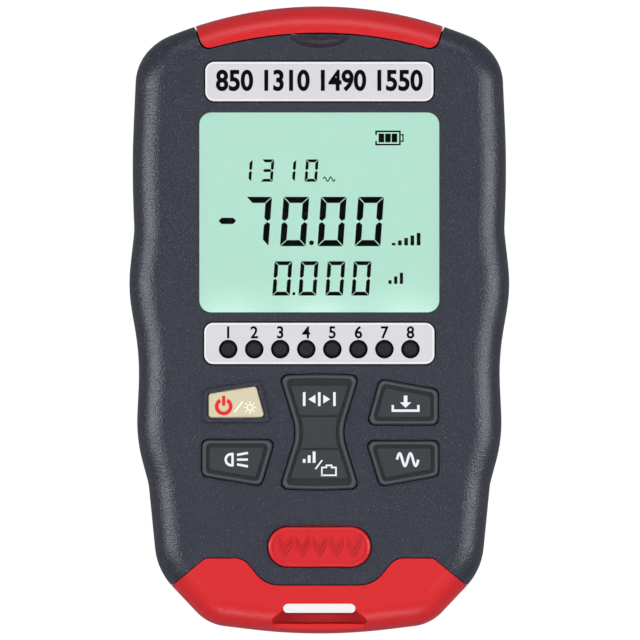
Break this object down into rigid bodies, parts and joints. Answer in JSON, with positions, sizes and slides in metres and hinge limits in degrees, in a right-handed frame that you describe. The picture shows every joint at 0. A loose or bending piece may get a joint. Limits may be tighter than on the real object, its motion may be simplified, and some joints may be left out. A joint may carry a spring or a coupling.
{
  "type": "optical power meter",
  "caption": "Hand-held optical power meter with lit display, keys, hinged port cover and slide-off network-cable remote unit, lying on its back.",
  "frame": {"origin": "middle of the footprint at the level of the back, on which the meter lies", "axes": "+Z out of the display, +Y towards the fibre and network ports, +X to the reader's right"},
  "size_m": [0.0734, 0.121, 0.03],
  "materials": {
    "case_plastic": "fine moulded grain",
    "red_plastic": "smooth moulded",
    "key_plastic": "satin",
    "power_key_plastic": "satin",
    "silver_plate": "fine matt silver",
    "window_plastic": "clear polished",
    "lcd_glass": "lit liquid crystal display",
    "light_guide": "translucent white",
    "black_rubber": "matt",
    "board_laminate": "solder mask",
    "chip_plastic": "dark resin",
    "steel": "plated",
    "nickel_brass": "nickel-plated brass",
    "black_plastic": "moulded",
    "gold_contacts": "gold flash",
    "lamp_lens": "clear epoxy",
    "battery_jacket": "plain jacket"
  },
  "bodies": {
    "meter": {"front_shell": "case_plastic", "rear_shell": "case_plastic", "title_plate": "silver_plate", "indicator_plate": "silver_plate", "display_window": "window_plastic", "lcd_panel": "lcd_glass", "lcd_backlight": "light_guide", "lcd_connector_strips": "black_rubber", "main_board": "board_laminate", "measuring_chip": "chip_plastic", "indicator_lamps": "chip_plastic", "keypad_mat": "black_rubber", "board_screws": "steel", "housing_screws": "steel", "port_panel": "black_plastic", "optical_receptacle": "nickel_brass", "photodiode": "steel", "torch_lamp": "lamp_lens", "cover_hinge_pin": "steel", "network_socket": "black_plastic", "network_socket_contacts": "gold_contacts", "battery_1": "battery_jacket", "battery_2": "battery_jacket", "battery_3": "battery_jacket", "battery_buttons": "steel", "battery_springs": "steel", "release_springs": "steel"},
    "cover": {"port_cover": "red_plastic"},
    "power": {"power_key": "power_key_plastic"},
    "save": {"save_key": "key_plastic"},
    "torch": {"torch_key": "key_plastic"},
    "wavelength": {"wavelength_key": "key_plastic"},
    "rocker": {"rocker_key": "key_plastic"},
    "release": {"release_button": "red_plastic"},
    "remote": {"remote_front_shell": "red_plastic", "remote_rear_shell": "red_plastic", "remote_socket": "black_plastic", "remote_socket_contacts": "gold_contacts", "remote_board": "board_laminate", "remote_screws": "steel"},
    "door": {"battery_door": "case_plastic"}
  },
  "joints": [
    {"name": "cover_hinge", "type": "hinge", "parent": "meter", "child": "cover", "pos_m": [0, 0.057, 0.0032], "axis": [-1, 0, 0], "range_deg": [0, 110]},
    {"name": "power_press", "type": "slide", "parent": "meter", "child": "power", "axis": [0, 0, -1], "range_m": [0, 0.0005], "stiffness_N_per_m": 2000, "deforming": ["keypad_mat"]},
    {"name": "save_press", "type": "slide", "parent": "meter", "child": "save", "axis": [0, 0, -1], "range_m": [0, 0.0005], "stiffness_N_per_m": 2000},
    {"name": "torch_press", "type": "slide", "parent": "meter", "child": "torch", "axis": [0, 0, -1], "range_m": [0, 0.0005], "stiffness_N_per_m": 2000},
    {"name": "wavelength_press", "type": "slide", "parent": "meter", "child": "wavelength", "axis": [0, 0, -1], "range_m": [0, 0.0005], "stiffness_N_per_m": 2000},
    {"name": "rocker_tilt", "type": "hinge", "parent": "meter", "child": "rocker", "pos_m": [0, -0.0216, 0.0246], "axis": [1, 0, 0], "range_deg": [-2, 2], "stiffness_Nm_per_rad": 0.2},
    {"name": "release_press", "type": "slide", "parent": "meter", "child": "release", "axis": [0, 0, -1], "range_m": [0, 0.0014], "stiffness_N_per_m": 800, "deforming": ["release_springs"]},
    {"name": "remote_slide", "type": "slide", "parent": "meter", "child": "remote", "axis": [0, -1, 0], "range_m": [0, 0.025]},
    {"name": "battery_door_tilt", "type": "hinge", "parent": "meter", "child": "door", "pos_m": [0, 0.0302, 0], "axis": [1, 0, 0], "range_deg": [0, 60]}
  ]
}
